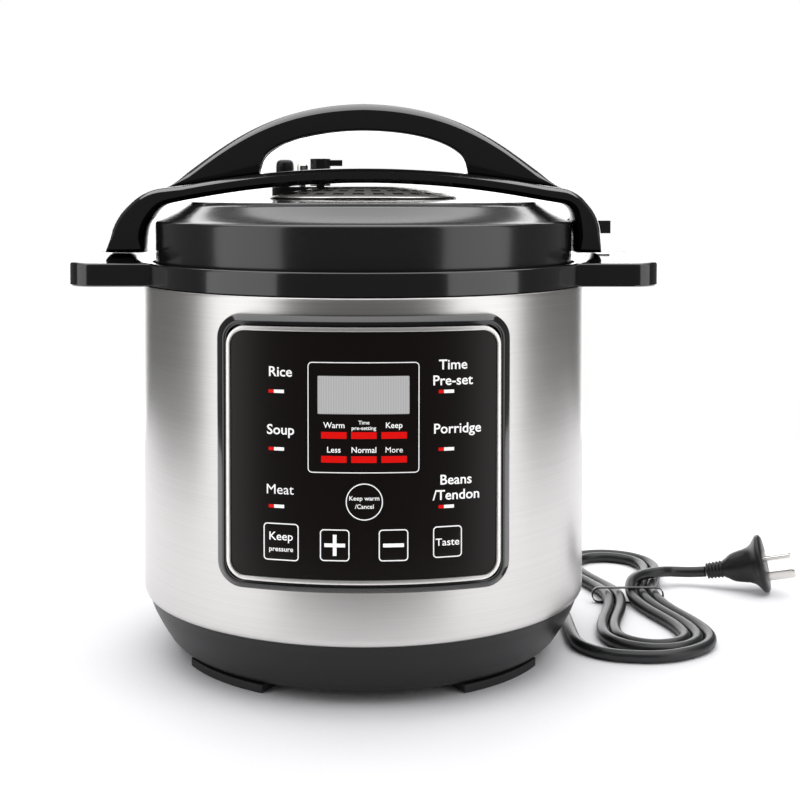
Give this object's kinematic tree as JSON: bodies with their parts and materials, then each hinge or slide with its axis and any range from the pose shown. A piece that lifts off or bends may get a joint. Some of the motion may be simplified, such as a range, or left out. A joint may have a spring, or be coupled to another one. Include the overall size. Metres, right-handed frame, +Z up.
{
  "type": "electric pressure cooker",
  "caption": "Round steel-bodied electric pressure cooker with a black arched lid handle, side handles, curved control panel and a mains lead tied in a hank.",
  "frame": {"origin": "on the axis of the round body, on the surface that the feet stand on", "axes": "+Z up, +X to the right of someone facing the control panel, -Y out of the front of the panel"},
  "size_m": [0.4598, 0.3193, 0.3214],
  "materials": {
    "brushed_steel": "vertical satin brushed stainless steel",
    "steel": "drawn stainless and plated steel",
    "aluminium": "cast aluminium, fine matt",
    "gloss_black": "high gloss moulded plastic",
    "satin_black": "satin moulded plastic",
    "lid_enamel": "gloss black painted steel",
    "silver_trim": "bright plated trim",
    "panel_film": "printed panel film",
    "display": "liquid crystal display behind a clear window",
    "silicone": "moulded silicone",
    "rubber": "matt black rubber",
    "cord": "black cord sheath",
    "board": "circuit board with solder mask",
    "smoked": "smoked moulded plastic",
    "nickel": "nickel plated"
  },
  "bodies": {
    "root": {"base_tray": "satin_black", "cup_pocket": "satin_black", "display_module": "satin_black", "pressure_switch": "satin_black", "cord_tie": "satin_black", "foot_rear_right": "rubber", "foot_rear_left": "rubber", "foot_front_left": "rubber", "foot_front_right": "rubber", "support_post_1": "steel", "support_post_2": "steel", "support_post_3": "steel", "pressure_shell": "steel", "heater_element": "steel", "centre_bracket": "steel", "sensor_holder": "steel", "centre_screw": "steel", "power_board": "board", "control_board": "board", "outer_shell": "brushed_steel", "collar": "gloss_black", "panel_bezel": "gloss_black", "heating_plate": "aluminium", "sensor_spring": "nickel", "plug_pin_live": "nickel", "plug_pin_neutral": "nickel", "plug_pin_earth": "nickel", "panel_trim": "silver_trim", "panel_face": "panel_film", "display_window": "display", "cord_lead": "cord", "plug_lead": "cord", "cord_hank": "cord", "cord_gland": "cord", "plug_body": "cord"},
    "inner_lid": {"lid_plate": "steel", "sealing_ring": "silicone", "lid_hub": "steel"},
    "lid": {"lid_shell": "lid_enamel", "lid_cover": "gloss_black", "lid_strap": "gloss_black", "lid_handle": "gloss_black", "lid_badge": "silver_trim", "lid_fin": "satin_black", "valve_deck": "satin_black", "vent_pipe": "nickel"},
    "vent_cap": {"steam_vent_cap": "satin_black"},
    "float": {"float_pin": "nickel"},
    "lever": {"release_lever": "satin_black"},
    "pot": {"inner_pot": "aluminium"},
    "sensor": {"sensor_cap": "aluminium"},
    "cup": {"condensate_cup": "smoked"},
    "keep_pressure_key": {"key_keep_pressure": "panel_film"},
    "plus_key": {"key_plus": "panel_film"},
    "minus_key": {"key_minus": "panel_film"},
    "taste_key": {"key_taste": "panel_film"},
    "cancel_key": {"key_cancel": "panel_film"}
  },
  "joints": [
    {"name": "lid_lift", "type": "slide", "parent": "root", "child": "inner_lid", "axis": [0, 0, 1], "range_m": [0, 0.36]},
    {"name": "lid_turn", "type": "hinge", "parent": "inner_lid", "child": "lid", "pos_m": [0, 0, 0.24], "axis": [0, 0, 1], "range_deg": [0, 30]},
    {"name": "vent_lift", "type": "slide", "parent": "lid", "child": "vent_cap", "axis": [0, 0, 1], "range_m": [0, 0.003]},
    {"name": "float_rise", "type": "slide", "parent": "lid", "child": "float", "axis": [0, 0, 1], "range_m": [0, 0.005]},
    {"name": "release_turn", "type": "hinge", "parent": "lid", "child": "lever", "pos_m": [-0.0275, 0.049, 0.28], "axis": [0, 0, 1], "range_deg": [0, 40]},
    {"name": "pot_lift", "type": "slide", "parent": "root", "child": "pot", "axis": [0, 0, 1], "range_m": [0, 0.18]},
    {"name": "sensor_press", "type": "slide", "parent": "root", "child": "sensor", "axis": [0, 0, -1], "range_m": [0, 0.003], "stiffness_N_per_m": 600, "deforming": ["sensor_spring"]},
    {"name": "cup_pull", "type": "slide", "parent": "root", "child": "cup", "axis": [0, 1, 0], "range_m": [0, 0.05]},
    {"name": "press_keep_pressure", "type": "slide", "parent": "root", "child": "keep_pressure_key", "axis": [0, 1, 0], "range_m": [0, 0.001], "stiffness_N_per_m": 800},
    {"name": "press_plus", "type": "slide", "parent": "root", "child": "plus_key", "axis": [0, 1, 0], "range_m": [0, 0.001], "stiffness_N_per_m": 800},
    {"name": "press_minus", "type": "slide", "parent": "root", "child": "minus_key", "axis": [0, 1, 0], "range_m": [0, 0.001], "stiffness_N_per_m": 800},
    {"name": "press_taste", "type": "slide", "parent": "root", "child": "taste_key", "axis": [0, 1, 0], "range_m": [0, 0.001], "stiffness_N_per_m": 800},
    {"name": "press_cancel", "type": "slide", "parent": "root", "child": "cancel_key", "axis": [0, 1, 0], "range_m": [0, 0.001], "stiffness_N_per_m": 800}
  ],
  "couplings": [
    {"joint": "pot_lift", "follows": "lid_lift", "ratio": 0.5},
    {"joint": "vent_lift", "follows": "release_turn", "m_per_rad": 0.004293}
  ]
}
